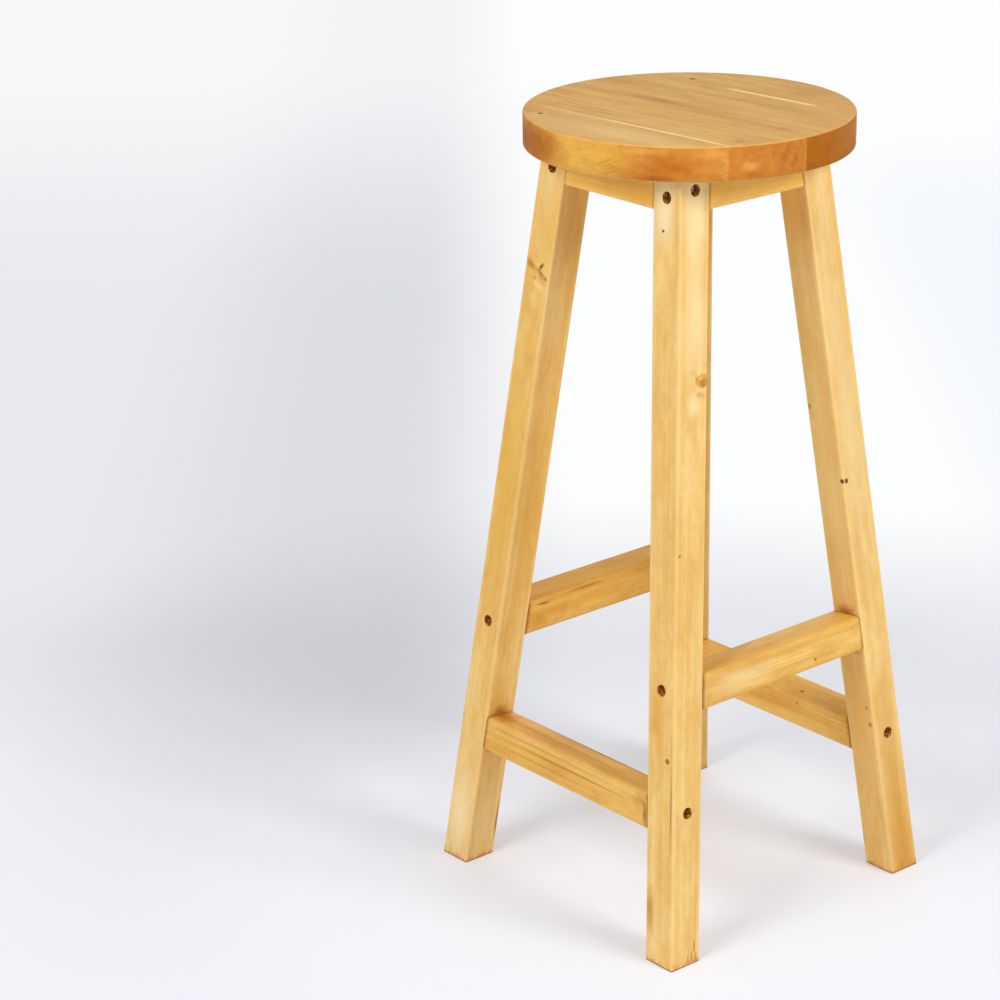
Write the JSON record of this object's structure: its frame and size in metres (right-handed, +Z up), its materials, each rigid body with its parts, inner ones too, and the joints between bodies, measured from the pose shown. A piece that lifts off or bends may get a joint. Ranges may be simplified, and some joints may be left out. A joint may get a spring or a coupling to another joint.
{
  "type": "bar stool",
  "caption": "Wooden bar stool: round board seat on square splayed legs, with aprons under the seat and footrest stretchers at two heights.",
  "frame": {"origin": "on the floor, midway between the four feet", "axes": "+Z up, +X to the right, -Y to the front; the low stretchers are at the front and back"},
  "size_m": [0.329, 0.329, 0.75],
  "materials": {
    "seat_wood": "satin oiled pine",
    "leg_wood": "satin varnished pine",
    "rail_wood": "satin varnished pine",
    "screw_steel": "dull plated steel"
  },
  "bodies": {
    "root": {"seat_board_front": "seat_wood", "seat_board_front_middle": "seat_wood", "seat_board_back_middle": "seat_wood", "seat_board_back": "seat_wood", "leg_front_left": "leg_wood", "leg_front_right": "leg_wood", "leg_back_left": "leg_wood", "leg_back_right": "leg_wood", "apron_front": "leg_wood", "apron_back": "leg_wood", "apron_left": "leg_wood", "apron_right": "leg_wood", "stretcher_front": "rail_wood", "stretcher_back": "rail_wood", "stretcher_left": "rail_wood", "stretcher_right": "rail_wood", "leg_screws_front_left": "screw_steel", "leg_screws_front_right": "screw_steel", "leg_screws_back_left": "screw_steel", "leg_screws_back_right": "screw_steel", "seat_screws": "screw_steel"}
  },
  "joints": []
}
